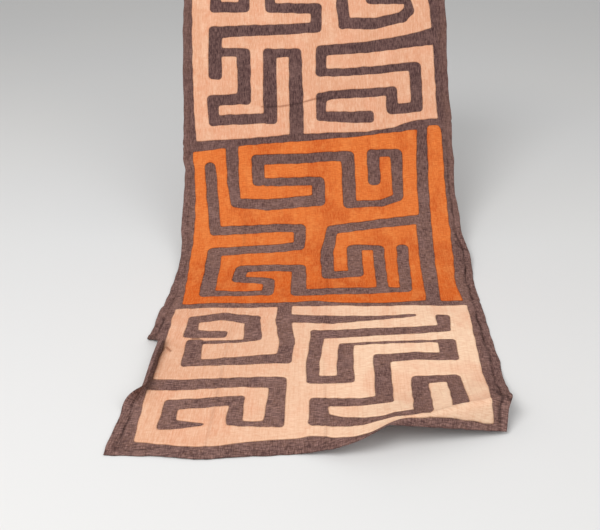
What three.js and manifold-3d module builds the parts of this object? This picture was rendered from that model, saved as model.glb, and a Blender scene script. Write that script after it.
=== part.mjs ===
// A Kuba raffia cloth. Pale and orange cut-work panels are sewn on a dark raffia ground, which shows
// through their slits as a meander and around them as a border. The cloth hangs from its top edge,
// sweeps forward and ends flat on the floor, where its lower right corner stands up in a ridge.
//
// Every piece is laid out flat first: u runs across the cloth from its left edge, v runs up it from the
// hem, and t stands off the back of the ground. The drape then carries each flat piece to where it lies.
// Millimetres, +Z up, with the origin at the middle of the top edge.

import * as THREE from "three";
import { mergeVertices } from "three/addons/utils/BufferGeometryUtils.js";
import Module from "manifold-3d";

const wasm = await Module();
wasm.setup();
const { clamp, degToRad, inverseLerp, lerp, smoothstep } = THREE.MathUtils;

// The cloth
const clothWidth = 720;
const clothLength = 1600;
const edgeRoom = 12;
const groundThickness = 1.2;
const hemWidth = 17;
const bottomHemWidth = 11;
const panelThickness = 1.0;
const pieceGap = 0.3;

// Rounding of the slits' corners, and the most of a slit's width that it takes
const slitCorner = 12;
const slitCornerShare = 0.45;

// The uneven bottom edge, in rows of u and v
const bottomEdge = [
  [0, 0], [90, -3], [150, -10], [180, -9], [215, -5], [280, -1], [320, 2], [365, -1], [400, -6], [470, -5],
  [495, 1], [720, 21.5],
];

// How far the uneven side edges stand out past straight ones, in rows of v and reach
const leftEdge = [
  [0, 5], [20, 5], [50, 4], [80, 1], [144, 0], [264, 2], [302, 4], [378, 0], [426, 3], [474, -1], [524, -3],
  [576, -6], [624, -8], [670, -7], [712, -4], [752, 3], [790, 3], [862, 0], [932, -2], [964, 3], [998, 3],
  [1064, 1], [1132, 0], [1200, 2], [1268, 0], [1320, 3], [1406, 1], [1600, 0],
];
const rightEdge = [
  [20, -2], [60, -6], [80, -3], [140, -3], [208, 0], [254, 5], [294, 1], [378, 0], [524, -1], [576, 2],
  [624, 8], [670, 11], [712, 5], [752, -1], [790, 2], [826, 2], [862, -2], [898, -1], [932, 2], [964, 4],
  [998, 1], [1066, 4], [1098, 4], [1132, 0], [1268, 0], [1336, 2], [1406, -2], [1600, 0],
];

// Joins of the three ground lengths: v at the left edge and at the right edge
const lowerJoin = { left: 459, right: 474 };
const upperJoin = { left: 998, right: 1068 };

// The sweep: flat on the floor up to one row, straight from another one up
const flatEnd = 477;
const inclineStart = 1042;
const inclineAngle = degToRad(53.6);
const floorRow = 420.5;

// The ridge at the lower right: the cloth rises to a slanting crest, steeper just before it, and the
// corner folds down over it
const ridgeStart = 298;
const ridgeEnd = 525;
const riseRow = 150;
const riseSlope = 0.29;
const riseHalf = 45;
const riseAngle = degToRad(21.5);
const steepStart = 408;
const steepEnd = 493;
const steepReach = 32.4;
const steepAngle = degToRad(18);
const crestStart = 488;
const crestSlope = 0.369;
const crestHalf = 6;
const foldStart = 482;
const foldEnd = 512;
const dropAngle = degToRad(47.8);

// The right edge draws in by this much where the ridge lifts it
const ridgePull = 12;
const ridgePullEnd = 330;

// The stretch of the left border that curls up and over
const curlWidth = 36.5;
const curlRadius = 12;
const curlFrom = [105, 168];
const curlTo = [305, 330];
const leastCurl = 1e-3;

// Sideways sway of the cloth, in rows of v and shift
const sway = [
  [0, 31.5],
  [250, 37.7],
  [500, 52.7],
  [750, 56.1],
  [1000, 48.1],
  [1250, 41],
  [1600, 41],
];

// Lines of the drape's grid across and along the cloth, with room for the uneven edges
const gridColumns = [
  -edgeRoom, 10.5, 20.5, 28.5, curlWidth, 120.5, 220.5, 330.5, 385.5, 420.5, 454.5, 488.5, 522.5, 556.5,
  590.5, 624.5, 658.5, 690.5, clothWidth + edgeRoom,
];
const gridRows = [
  -edgeRoom, 10.5, 24.5, 36.5, 48.5, 60.5, 72.5, 84.5, 104.5, 118.5, 132.5, 146.5, 168.5, 210.5, 260.5,
  305.5, 318.5, 330.5, 370.5, floorRow, 500.5, 570.5, 640.5, 700.5, 760.5, 820.5, 880.5, 940.5, 1010.5,
  1100.5, 1350.5, clothLength,
];
const integrationStep = 2;
const weldDistance = 1e-2;
const slackOnEdge = 1e-6;

// Panel outlines as [u, v], counter-clockwise from the lower left corner
const lowerOutline = [
  [40, 32], [70, 27], [104, 23], [140, 20], [174, 20], [208, 25], [276, 36], [346, 41], [382, 31],
  [412, 20], [440, 14], [462, 10], [480, 10], [496, 13], [542, 21], [564, 26], [602, 30], [692, 31],
  [678, 64], [684, 174], [684, 240], [687, 466], [290, 462], [255, 458], [30, 451], [38, 300], [37, 190],
  [32, 176],
];
const middleOutline = [
  [40, 470], [290, 477], [340, 485], [390, 475], [530, 478], [597, 485], [605, 770], [616, 800],
  [622, 960], [630, 1048], [490, 1030], [340, 1017], [147, 1002], [112, 995], [22, 985], [30, 860],
  [31, 660],
];
const stripOutline = [
  [632, 485], [681, 485], [675, 560], [687, 660], [692, 810], [695, 960], [694, 1050], [688, 1059],
  [660, 1059], [655, 1050], [652, 960], [646, 810], [640, 660],
];
const upperOutline = [
  [32, 1014], [155, 1020], [320, 1035], [490, 1040], [565, 1052], [615, 1070], [687, 1078], [685, 1300],
  [675, 1410], [678, 1562], [24, 1560], [22, 1412], [28, 1120],
];

// Slits of each panel: every slit is a row of [u, v, width] along its middle
const lowerSlits = [
  [
    [275, 490, 32], [277, 400, 32], [291, 325, 31], [289, 268, 31], [200, 264, 29], [99, 259, 28],
    [97, 316, 32],
  ],
  [[92, 327, 11], [205, 333, 8]],
  [[217, 347, 37], [208, 408, 32], [146, 423, 26], [82, 409, 25], [84, 353, 26], [150, 353, 24]],
  [[285, 412, 30], [378, 408, 29], [470, 415, 17], [563, 424, 8]],
  [[12, 186, 30], [100, 186, 30], [200, 193, 28], [282, 195, 30], [281, 86, 33]],
  [[276, 79, 12], [213, 79, 12]],
  [[209, 86, 28], [208, 142, 26], [88, 132, 26], [89, 78, 30]],
  [[100, 75, 24], [150, 74, 5]],
  [
    [626, 412, 31], [626, 377, 24], [560, 370, 23], [450, 362, 28], [352, 353, 29], [348, 250, 25],
    [351, 203, 24], [408, 202, 21],
  ],
  [[412, 208, 34], [413, 306, 33]],
  [[405, 318, 8], [520, 326, 7], [612, 331, 8]],
  [[626, 318, 37], [626, 278, 37]],
  [[626, 274, 27], [560, 276, 27], [487, 268, 26]],
  [[487, 265, 33], [486, 135, 33]],
  [[486, 133, 30], [440, 132, 25], [362, 135, 22]],
  [
    [361, 130, 34], [361, 86, 34], [410, 70, 28], [440, 61, 25], [484, 53, 17], [508, 54, 25],
    [555, 46, 34], [556, 196, 34],
  ],
  [[556, 202, 24], [620, 204, 24]],
  [[618, 200, 28], [624, 80, 29]],
];
const middleSlits = [
  [[129, 1030, 33], [128, 900, 30], [134, 839, 31], [220, 833, 33], [356, 848, 31], [356, 897, 34]],
  [[356, 902, 24], [220, 899, 22]],
  [[197, 905, 32], [196, 960, 32]],
  [[196, 963, 27], [300, 966, 27], [439, 974, 25]],
  [[438, 970, 32], [438, 842, 32]],
  [[440, 835, 20], [520, 839, 19], [569, 857, 22]],
  [[569, 862, 31], [567, 975, 31]],
  [[567, 979, 24], [508, 979, 24]],
  [[506, 975, 32], [506, 906, 32]],
  [[640, 800, 28], [500, 778, 25], [386, 759, 28], [371, 680, 32], [372, 592, 30], [440, 600, 25]],
  [[440, 605, 36], [440, 688, 36]],
  [[440, 698, 18], [502, 698, 18]],
  [[502, 692, 28], [500, 535, 26]],
  [[558, 695, 31], [557, 538, 32]],
  [[557, 531, 18], [450, 527, 27], [302, 519, 27]],
  [[302, 523, 35], [302, 617, 34]],
  [[302, 622, 25], [250, 622, 25], [162, 617, 26]],
  [[161, 614, 30], [158, 577, 30]],
  [[158, 574, 24], [200, 571, 24], [231, 566, 27], [231, 520, 27]],
  [[231, 518, 20], [170, 514, 19], [97, 514, 26]],
  [[90, 519, 36], [90, 679, 35]],
  [[90, 682, 29], [110, 683, 29], [230, 693, 27], [302, 703, 28], [303, 760, 30]],
  [[303, 763, 25], [250, 763, 25], [90, 753, 28], [80, 830, 29], [69, 940, 29]],
];
const upperSlits = [
  [[303, 1015, 35], [304, 1100, 34], [306, 1256, 33]],
  [[306, 1262, 23], [240, 1262, 23]],
  [[237, 1257, 34], [237, 1081, 34]],
  [[237, 1079, 27], [215, 1078, 27], [82, 1071, 28], [80, 1128, 29], [166, 1132, 30]],
  [[166, 1134, 35], [166, 1256, 35]],
  [[166, 1263, 23], [95, 1264, 24]],
  [[88, 1205, 35], [88, 1320, 35]],
  [
    [88, 1322, 32], [120, 1323, 32], [250, 1328, 29], [364, 1335, 29], [365, 1390, 29], [238, 1391, 26],
    [236, 1460, 26], [282, 1462, 26],
  ],
  [[166, 1470, 30], [166, 1394, 29], [87, 1393, 29], [88, 1510, 29], [340, 1514, 28], [340, 1465, 28]],
  [
    [640, 1516, 28], [437, 1514, 29], [436, 1400, 32], [442, 1346, 31], [520, 1346, 31], [600, 1364, 28],
    [619, 1382, 27], [617, 1408, 25], [512, 1408, 26], [512, 1462, 27], [605, 1464, 27],
  ],
  [[716, 1322, 44], [680, 1311, 43], [600, 1295, 33], [500, 1278, 31], [378, 1269, 28], [376, 1210, 28]],
  [[376, 1207, 22], [450, 1207, 21], [632, 1225, 22]],
  [[632, 1220, 31], [633, 1112, 31]],
  [[633, 1110, 27], [566, 1103, 27]],
  [[566, 1105, 30], [566, 1151, 30]],
  [[566, 1154, 24], [400, 1143, 23], [374, 1136, 26], [373, 1084, 26], [450, 1081, 30], [494, 1083, 31]],
];

// Value of a table of [row, value] at a row, straight between its rows
function tableAt(table, row) {
  const last = table.length - 2;
  const i = clamp(table.findIndex(([next]) => next > row) - 1, 0, last);
  const k = row >= table[last + 1][0] ? last : i;
  const share = inverseLerp(table[k][0], table[k + 1][0], row);
  return lerp(table[k][1], table[k + 1][1], clamp(share, 0, 1));
}

// Angle at which the cloth climbs at (u, v), going up it from the hem
function climbAt(u, v) {
  const swept = inclineAngle * smoothstep(v, flatEnd, inclineStart);
  const start = riseRow + riseSlope * (u - crestStart);
  const raised = 1 - smoothstep(v, start - riseHalf, start + riseHalf);
  const crest = crestSlope * (u - crestStart);
  const nearCrest = smoothstep(u, steepStart, steepEnd) * (1 - smoothstep(v, crest, crest + steepReach));
  const rise = (riseAngle + steepAngle * nearCrest) * smoothstep(u, ridgeStart, ridgeEnd) * raised;
  const pastCrest = 1 - smoothstep(v, crest - crestHalf, crest + crestHalf);
  const folded = smoothstep(u, foldStart, foldEnd) * pastCrest;
  return swept - rise * (1 - folded) + dropAngle * folded;
}

// Rows of one column as { y, z }, walked both ways from the row that lies on the floor
function columnProfile(u) {
  const profile = [];
  const walk = (rows, indices) => {
    let [v, y, z] = [floorRow, floorRow, 0];
    for (const j of indices) {
      const steps = Math.ceil(Math.abs(rows[j] - v) / integrationStep);
      const step = (rows[j] - v) / Math.max(steps, 1);
      for (let k = 0; k < steps; k++) {
        const climb = climbAt(u, v + step / 2);
        v += step;
        y += step * Math.cos(climb);
        z += step * Math.sin(climb);
      }
      profile[j] = { y, z };
    }
  };
  const anchor = gridRows.indexOf(floorRow);
  walk(gridRows, gridRows.map((_, j) => j).slice(anchor));
  walk(gridRows, gridRows.map((_, j) => j).slice(0, anchor).reverse());
  return profile;
}

// Grid of the draped back of the ground: a point and a normal at each column and row
function drapeGrid() {
  const profiles = gridColumns.map(columnProfile);
  const top = gridRows.length - 1;
  const points = gridColumns.map(() => []);
  for (let j = 0; j < gridRows.length; j++) {
    let x = tableAt(sway, gridRows[j]) - tableAt(sway, clothLength) - clothWidth / 2 + gridColumns[0];
    for (let i = 0; i < gridColumns.length; i++) {
      const here = profiles[i][j];
      if (i > 0) {
        const before = profiles[i - 1][j];
        const across = gridColumns[i] - gridColumns[i - 1];
        x += Math.sqrt(Math.max(across ** 2 - (here.y - before.y) ** 2 - (here.z - before.z) ** 2, 0));
      }
      points[i][j] = new THREE.Vector3(x, here.y - profiles[0][top].y, here.z - profiles[0][top].z);
    }
  }
  pullRidge(points);
  curlBorder(points);
  const normals = points.map((column, i) => column.map((_, j) => gridNormal(points, i, j)));
  return { points, normals };
}

// Draws the right edge in at the ridge
function pullRidge(points) {
  gridColumns.forEach((u, i) => {
    gridRows.forEach((v, j) => {
      const share = smoothstep(u, ridgeStart, clothWidth) * (1 - smoothstep(v, 0, ridgePullEnd));
      points[i][j].x -= ridgePull * share;
    });
  });
}

// Curls the left border up and over along its inner line
function curlBorder(points) {
  gridColumns.forEach((u, i) => {
    const reach = Math.max(curlWidth - u, 0);
    gridRows.forEach((v, j) => {
      const curled = smoothstep(v, ...curlFrom) * (1 - smoothstep(v, ...curlTo));
      const bend = Math.max(curled, leastCurl) / curlRadius;
      points[i][j].x += reach - Math.sin(reach * bend) / bend;
      points[i][j].z += (1 - Math.cos(reach * bend)) / bend;
    });
  });
}

function gridNormal(points, i, j) {
  const west = points[Math.max(i - 1, 0)][j];
  const east = points[Math.min(i + 1, gridColumns.length - 1)][j];
  const south = points[i][Math.max(j - 1, 0)];
  const north = points[i][Math.min(j + 1, gridRows.length - 1)];
  return east.clone().sub(west).cross(north.clone().sub(south)).normalize();
}

const grid = drapeGrid();

function cellOf(lines, value) {
  const next = lines.findIndex((line) => line > value);
  return next < 0 ? lines.length - 2 : Math.max(next - 1, 0);
}

// Draped place of a flat point, straight within each half of a grid cell
function drapedPoint([u, v, t]) {
  const i = cellOf(gridColumns, u);
  const j = cellOf(gridRows, v);
  const a = inverseLerp(gridColumns[i], gridColumns[i + 1], u);
  const b = inverseLerp(gridRows[j], gridRows[j + 1], v);
  const corners = a >= b
    ? [[i, j, 1 - a], [i + 1, j, a - b], [i + 1, j + 1, b]]
    : [[i, j, 1 - b], [i, j + 1, b - a], [i + 1, j + 1, a]];
  const place = new THREE.Vector3();
  for (const [column, row, share] of corners) {
    place.addScaledVector(grid.points[column][row], share);
    place.addScaledVector(grid.normals[column][row], share * t);
  }
  return place;
}

// Parts of a flat solid between the inner lines across one axis
function splitOnLines(solid, normal, lines) {
  const parts = [];
  let rest = solid;
  for (const line of lines.slice(1, -1)) {
    const [above, below] = rest.splitByPlane(normal, line);
    parts.push(below);
    rest = above;
  }
  return [...parts, rest];
}

// Triangles of a flat solid, cut along the grid's lines and the slanting line of each cell.
// The walls that the cuts leave inside the solid are dropped.
function gridTriangles(solid) {
  const triangles = [];
  splitOnLines(solid, [0, 1, 0], gridRows).forEach((slab, j) => {
    if (slab.isEmpty()) return;
    splitOnLines(slab, [1, 0, 0], gridColumns).forEach((cell, i) => {
      if (cell.isEmpty()) return;
      const width = gridColumns[i + 1] - gridColumns[i];
      const height = gridRows[j + 1] - gridRows[j];
      const slant = new THREE.Vector2(height, -width).normalize();
      const offset = slant.x * gridColumns[i] + slant.y * gridRows[j];
      const walls = [
        ...gridColumns.slice(1, -1).map((line) => ([u]) => u - line),
        ...gridRows.slice(1, -1).map((line) => ([, v]) => v - line),
        ([u, v]) => slant.x * u + slant.y * v - offset,
      ];
      const isCutWall = (triangle) =>
        walls.some((side) => triangle.every((corner) => Math.abs(side(corner)) < weldDistance));
      for (const half of cell.splitByPlane([slant.x, slant.y, 0], offset)) {
        triangles.push(...solidTriangles(half).filter((triangle) => !isCutWall(triangle)));
      }
    });
  });
  return triangles;
}

function solidTriangles(solid) {
  const { vertProperties, triVerts } = solid.getMesh();
  const corner = (k) => Array.from(vertProperties.slice(3 * k, 3 * k + 3));
  return Array.from({ length: triVerts.length / 3 }, (_, k) =>
    [corner(triVerts[3 * k]), corner(triVerts[3 * k + 1]), corner(triVerts[3 * k + 2])]);
}

// Corners of triangles as a list without doubles, and the triangles as indices into it
function weld(triangles) {
  const corners = [];
  const cells = new Map();
  const indexOf = (corner) => {
    const home = corner.map((value) => Math.round(value / (2 * weldDistance)));
    for (const du of [0, -1, 1]) {
      for (const dv of [0, -1, 1]) {
        const found = cells.get([home[0] + du, home[1] + dv, home[2]].join());
        if (found !== undefined && distance(corner, corners[found]) < weldDistance) return found;
      }
    }
    cells.set(home.join(), corners.length);
    return corners.push(corner) - 1;
  };
  const faces = triangles.map((triangle) => triangle.map(indexOf));
  return { corners, faces };
}

function distance(a, b) {
  return Math.hypot(a[0] - b[0], a[1] - b[1], a[2] - b[2]);
}

// Whether a corner lies on the edge between two others
function liesBetween(corner, a, b) {
  for (let axis = 0; axis < 3; axis++) {
    const past = Math.max(a[axis], b[axis]) + weldDistance;
    const before = Math.min(a[axis], b[axis]) - weldDistance;
    if (corner[axis] > past || corner[axis] < before) return false;
  }
  return distance(a, corner) + distance(corner, b) < distance(a, b) + slackOnEdge;
}

// Whether a face has no area, because one of its corners lies on the edge between the others
function isSliver(face, corners) {
  const [a, b, c] = face.map((k) => corners[k]);
  return liesBetween(a, b, c) || liesBetween(b, c, a) || liesBetween(c, a, b);
}

// Splits a face at every corner that lies on one of its edges, so that both sides share its corners
function splitFace(face, corners) {
  for (let k = 0; k < 3; k++) {
    const [a, b, c] = [face[k], face[(k + 1) % 3], face[(k + 2) % 3]];
    const between = corners.findIndex((corner, m) =>
      m !== a && m !== b && m !== c && liesBetween(corner, corners[a], corners[b]));
    if (between >= 0) {
      return [...splitFace([a, between, c], corners), ...splitFace([between, b, c], corners)];
    }
  }
  return [face];
}

// Flat plate of an outline between two heights
function plate(shape, bottom, top) {
  const extrusion = { depth: top - bottom, bevelEnabled: false, curveSegments: 2 };
  const geometry = new THREE.ExtrudeGeometry(shape, extrusion);
  geometry.translate(0, 0, bottom);
  geometry.deleteAttribute("normal");
  geometry.deleteAttribute("uv");
  const merged = mergeVertices(geometry, weldDistance);
  const vertProperties = new Float32Array(merged.attributes.position.array);
  const triVerts = new Uint32Array(merged.index.array);
  return new wasm.Manifold(new wasm.Mesh({ numProp: 3, vertProperties, triVerts }));
}

function outlineShape(outline) {
  return new THREE.Shape(outline.map(([u, v]) => new THREE.Vector2(u, v)));
}

// Bar from one slit point to the next, tapered, with rounded corners and square ends past both points
function barShape([ua, va, wa], [ub, vb, wb]) {
  const along = new THREE.Vector2(ub - ua, vb - va).normalize();
  const aside = new THREE.Vector2(-along.y, along.x);
  const corner = (u, v, reach, offset) =>
    new THREE.Vector2(u, v).addScaledVector(along, reach).addScaledVector(aside, offset);
  const corners = [
    corner(ua, va, -wa / 2, wa / 2),
    corner(ua, va, -wa / 2, -wa / 2),
    corner(ub, vb, wb / 2, -wb / 2),
    corner(ub, vb, wb / 2, wb / 2),
  ];
  const radius = Math.min(slitCorner, slitCornerShare * wa, slitCornerShare * wb);
  const shape = new THREE.Shape();
  corners.forEach((point, k) => {
    const before = corners[(k + 3) % 4];
    const after = corners[(k + 1) % 4];
    const enter = before.clone().sub(point).setLength(radius).add(point);
    const leave = after.clone().sub(point).setLength(radius).add(point);
    if (k === 0) shape.moveTo(enter.x, enter.y);
    else shape.lineTo(enter.x, enter.y);
    shape.quadraticCurveTo(point.x, point.y, leave.x, leave.y);
  });
  shape.closePath();
  return shape;
}

// Flat panel with its slits cut through
function cutPanel(outline, slits) {
  const bottom = groundThickness + pieceGap;
  let panel = plate(outlineShape(outline), bottom, bottom + panelThickness);
  for (const slit of slits) {
    for (let k = 1; k < slit.length; k++) {
      panel = panel.subtract(plate(barShape(slit[k - 1], slit[k]), 0, bottom + 2 * panelThickness));
    }
  }
  return panel;
}

function joinRow(join, u) {
  return lerp(join.left, join.right, u / clothWidth);
}

// Row of the bottom edge
function hemRow(u) {
  return tableAt(bottomEdge, u);
}

// Points of a side edge of the ground from one row up to another
function sideEdge(left, from, to) {
  const table = left ? leftEdge : rightEdge;
  const rows = [from, ...table.map(([v]) => v).filter((v) => v > from && v < to), to];
  return rows.map((v) => {
    const reach = tableAt(table, v);
    return [left ? -reach : clothWidth + reach, v];
  });
}

// Length of ground between two edge rows, with its hems folded over on the front
function groundLength({ bottom, top, hemAtBottom = false, hemAtTop = false }) {
  const middle = bottomEdge.slice(1, -1).map(([u]) => u);
  const outline = [
    ...middle.map((u) => [u, bottom(u)]),
    ...sideEdge(false, bottom(clothWidth), top(clothWidth)),
    ...sideEdge(true, bottom(0), top(0)).reverse(),
  ];
  const low = hemAtBottom ? bottomHemWidth : -hemWidth;
  const high = hemAtTop ? -hemWidth : hemWidth;
  const inside = [0, ...middle, clothWidth].map((u) => clamp(u, hemWidth, clothWidth - hemWidth));
  const cutter = [
    ...inside.map((u) => [u, bottom(u) + low]),
    [clothWidth - hemWidth, top(clothWidth) + high],
    [hemWidth, top(0) + high],
  ];
  const fold = plate(outlineShape(outline), groundThickness / 2, 2 * groundThickness)
    .subtract(plate(outlineShape(cutter), 0, 3 * groundThickness));
  return plate(outlineShape(outline), 0, groundThickness).add(fold);
}

// Draped mesh of a flat piece
function drapedMesh(name, flat, material) {
  const { corners, faces } = weld(gridTriangles(flat));
  const sound = faces.filter((face) => !isSliver(face, corners));
  const geometry = new THREE.BufferGeometry().setFromPoints(corners.map(drapedPoint));
  geometry.setIndex(sound.flatMap((face) => splitFace(face, corners)).flat());
  geometry.computeVertexNormals();
  const mesh = new THREE.Mesh(geometry, material);
  mesh.name = name;
  return mesh;
}

function raffia(name, color) {
  return new THREE.MeshStandardMaterial({ name, color, roughness: 0.9, metalness: 0 });
}

const darkRaffia = raffia("dark raffia", 0x6a4d49);
const paleRaffia = raffia("pale raffia", 0xe8b78e);
const orangeRaffia = raffia("orange raffia", 0xcf6a35);

const groundLower = groundLength({
  bottom: hemRow,
  top: (u) => joinRow(lowerJoin, u) - pieceGap / 2,
  hemAtBottom: true,
});
const groundMiddle = groundLength({
  bottom: (u) => joinRow(lowerJoin, u) + pieceGap / 2,
  top: (u) => joinRow(upperJoin, u) - pieceGap / 2,
});
const groundUpper = groundLength({
  bottom: (u) => joinRow(upperJoin, u) + pieceGap / 2,
  top: () => clothLength,
  hemAtTop: true,
});

const group = new THREE.Group();
group.add(
  drapedMesh("ground_lower", groundLower, darkRaffia),
  drapedMesh("ground_middle", groundMiddle, darkRaffia),
  drapedMesh("ground_upper", groundUpper, darkRaffia),
  drapedMesh("panel_lower", cutPanel(lowerOutline, lowerSlits), paleRaffia),
  drapedMesh("panel_middle", cutPanel(middleOutline, middleSlits), orangeRaffia),
  drapedMesh("strip_middle", cutPanel(stripOutline, []), orangeRaffia),
  drapedMesh("panel_upper", cutPanel(upperOutline, upperSlits), paleRaffia),
);

export default group;
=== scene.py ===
import math

import bmesh
import bpy
import numpy as np
from mathutils import Matrix, Vector


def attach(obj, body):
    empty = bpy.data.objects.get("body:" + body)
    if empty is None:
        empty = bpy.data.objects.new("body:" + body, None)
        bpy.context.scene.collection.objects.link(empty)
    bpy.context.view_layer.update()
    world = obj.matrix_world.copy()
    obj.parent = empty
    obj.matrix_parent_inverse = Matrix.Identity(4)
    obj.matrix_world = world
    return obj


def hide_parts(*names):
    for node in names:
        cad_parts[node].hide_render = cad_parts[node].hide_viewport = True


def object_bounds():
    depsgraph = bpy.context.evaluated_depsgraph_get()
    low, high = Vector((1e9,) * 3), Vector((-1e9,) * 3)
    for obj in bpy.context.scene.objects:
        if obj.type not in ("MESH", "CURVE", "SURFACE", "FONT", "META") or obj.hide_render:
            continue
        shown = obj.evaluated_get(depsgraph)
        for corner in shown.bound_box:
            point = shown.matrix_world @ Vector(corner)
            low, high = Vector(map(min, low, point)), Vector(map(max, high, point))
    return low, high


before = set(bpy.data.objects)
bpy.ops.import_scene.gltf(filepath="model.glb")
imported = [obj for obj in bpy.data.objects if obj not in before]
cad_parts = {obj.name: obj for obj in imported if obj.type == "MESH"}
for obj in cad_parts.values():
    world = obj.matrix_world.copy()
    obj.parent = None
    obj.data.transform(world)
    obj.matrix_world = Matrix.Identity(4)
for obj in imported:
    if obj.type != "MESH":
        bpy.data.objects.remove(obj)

cadLow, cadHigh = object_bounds()
mm = 0.001
print("frame loaded, cloth is", [round(h - l, 3) for l, h in zip(cadLow, cadHigh)], "m")


# how the cloth lies: flat mm across (u) and up from the hem (v) to the place in the frame
drape = {
    "width": 720, "length": 1600, "step": 2,
    "flatEnd": 477, "inclineStart": 1042, "inclineAngle": 53.6, "floorRow": 420,
    "ridgeStart": 298, "ridgeEnd": 525, "crestStart": 488, "crestSlope": 0.369, "crestHalf": 6,
    "foldStart": 482, "foldEnd": 512, "dropAngle": 47.8,  # the corner folds down over the crest
    "riseRow": 150, "riseSlope": 0.29, "riseHalf": 45, "riseAngle": 21.5,
    "steepStart": 408, "steepEnd": 493, "steepReach": 32.4, "steepAngle": 18,  # steeper just before the crest
    "ridgePull": 12, "ridgePullEnd": 330,
    "curlWidth": 36.5, "curlRadius": 12, "curlFrom": (105, 168), "curlTo": (305, 330),
    "swayRows": [0, 250, 500, 750, 1000, 1250, 1600],
    "swayShifts": [31.5, 37.7, 52.7, 56.1, 48.1, 41, 41],
    "waveHeight": 0.7, "waveSize": 130, "waveLift": 1.5, "waveSeed": 4,  # soft unevenness all over
    "creaseAt": [165, 372], "creaseHeight": 1.1, "creaseHalf": 3, "creaseShade": 0.22,  # lengthwise creases
    "creaseSway": 4, "creaseSwayRows": 140, "creaseSkip": 0.4, "creaseSkipRows": 90,
    "creaseEnd": (560, 900), "creaseEndShare": 0.6,
}


def ease(x, low, high):
    t = np.clip((x - low) / (high - low), 0, 1)
    return t * t * (3 - 2 * t)


def ripple(u, v, size, seed, count=6, spread=(0.6, 1.6)):  # smooth uneven waves of about -1 to 1
    rng = np.random.default_rng(seed)
    total = 0
    for _ in range(count):
        angle, phase = rng.uniform(0, 2 * math.pi, 2)
        wave = 2 * math.pi / (size * rng.uniform(*spread))
        total = total + np.sin((u * math.cos(angle) + v * math.sin(angle)) * wave + phase)
    return total / math.sqrt(count)


def climbAt(u, v):  # angle at which the cloth climbs, going up from the hem
    d = drape
    swept = math.radians(d["inclineAngle"]) * ease(v, d["flatEnd"], d["inclineStart"])
    past = u - d["crestStart"]
    start = d["riseRow"] + d["riseSlope"] * past
    lift = 1 - ease(v, start - d["riseHalf"], start + d["riseHalf"])
    lift = ease(u, d["ridgeStart"], d["ridgeEnd"]) * lift
    crest = d["crestSlope"] * past
    folded = 1 - ease(v, crest - d["crestHalf"], crest + d["crestHalf"])
    folded = ease(u, d["foldStart"], d["foldEnd"]) * folded
    steep = d["steepAngle"] * ease(u, d["steepStart"], d["steepEnd"])
    steep = steep * (1 - ease(v, crest, crest + d["steepReach"]))
    rise = (d["riseAngle"] + steep) * lift
    return swept + np.radians(d["dropAngle"] * folded - rise * (1 - folded))


def layDrape():
    d, s = drape, drape["step"]
    u, v = np.meshgrid(np.arange(0, d["width"] + s, s), np.arange(0, d["length"] + s, s), indexing="ij")
    climb = climbAt(u[:, :-1], v[:, :-1] + s / 2)
    rest = np.zeros((u.shape[0], 1))
    y = np.hstack([rest, np.cumsum(np.cos(climb) * s, axis=1)])
    z = np.hstack([rest, np.cumsum(np.sin(climb) * s, axis=1)])
    onFloor = d["floorRow"] // s
    y = y - y[:, onFloor:onFloor + 1] + d["floorRow"]
    z = z - z[:, onFloor:onFloor + 1]
    y, z = y - y[0, -1], z - z[0, -1]
    across = np.sqrt(np.maximum(s * s - np.diff(y, axis=0) ** 2 - np.diff(z, axis=0) ** 2, 0))
    x = np.vstack([np.zeros((1, u.shape[1])), np.cumsum(across, axis=0)]) - d["width"] / 2
    x += np.interp(v, d["swayRows"], d["swayShifts"]) - d["swayShifts"][-1]
    x -= d["ridgePull"] * ease(u, d["ridgeStart"], d["width"]) * (1 - ease(v, 0, d["ridgePullEnd"]))
    reach = np.maximum(d["curlWidth"] - u, 0)  # left border curls up and over
    curled = ease(v, *d["curlFrom"]) * (1 - ease(v, *d["curlTo"]))
    bend = np.maximum(curled, 1e-3) / d["curlRadius"]  # never quite 0, which it is divided by
    x += reach - np.sin(reach * bend) / bend
    z += (1 - np.cos(reach * bend)) / bend
    points = np.stack([x, y, z], axis=-1)
    normals = np.cross(np.gradient(points, axis=0), np.gradient(points, axis=1))
    normals /= np.linalg.norm(normals, axis=-1, keepdims=True)
    return points, normals


drapePoints, drapeNormals = layDrape()


def storageCrease(u, v):  # 0 to 1 along the lengthwise creases
    d, crease = drape, 0
    for k, at in enumerate(d["creaseAt"]):
        bent = at + d["creaseSway"] * np.sin(v / d["creaseSwayRows"] + 2 * k)
        clear = 1 - d["creaseSkip"] + d["creaseSkip"] * np.sin(v / d["creaseSkipRows"] + k)
        crease = crease + np.exp(-((u - bent) / d["creaseHalf"]) ** 2) * clear
    return crease * (1 - d["creaseEndShare"] * ease(v, *d["creaseEnd"]))


def reliefAt(u, v):  # small heights that every layer follows
    d = drape
    waves = d["waveHeight"] * (d["waveLift"] + ripple(u, v, d["waveSize"], d["waveSeed"]))
    return np.maximum(waves + d["creaseHeight"] * storageCrease(u, v), 0)


def placeOnDrape(flat):  # rows of u, v, t in mm to places in metres
    step = drape["step"]
    a, b = flat[:, 0] / step, flat[:, 1] / step
    i = np.clip(np.floor(a).astype(int), 0, drapePoints.shape[0] - 2)
    j = np.clip(np.floor(b).astype(int), 0, drapePoints.shape[1] - 2)
    fa, fb = (a - i)[:, None], (b - j)[:, None]

    def between(field):
        low = field[i, j] * (1 - fa) + field[i + 1, j] * fa
        high = field[i, j + 1] * (1 - fa) + field[i + 1, j + 1] * fa
        return low * (1 - fb) + high * fb

    height = flat[:, 2] + reliefAt(flat[:, 0], flat[:, 1])
    return (between(drapePoints) + height[:, None] * between(drapeNormals)) * mm


def flatOf(bm):
    return np.array([v.co for v in bm.verts]).reshape(-1, 3)


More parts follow.
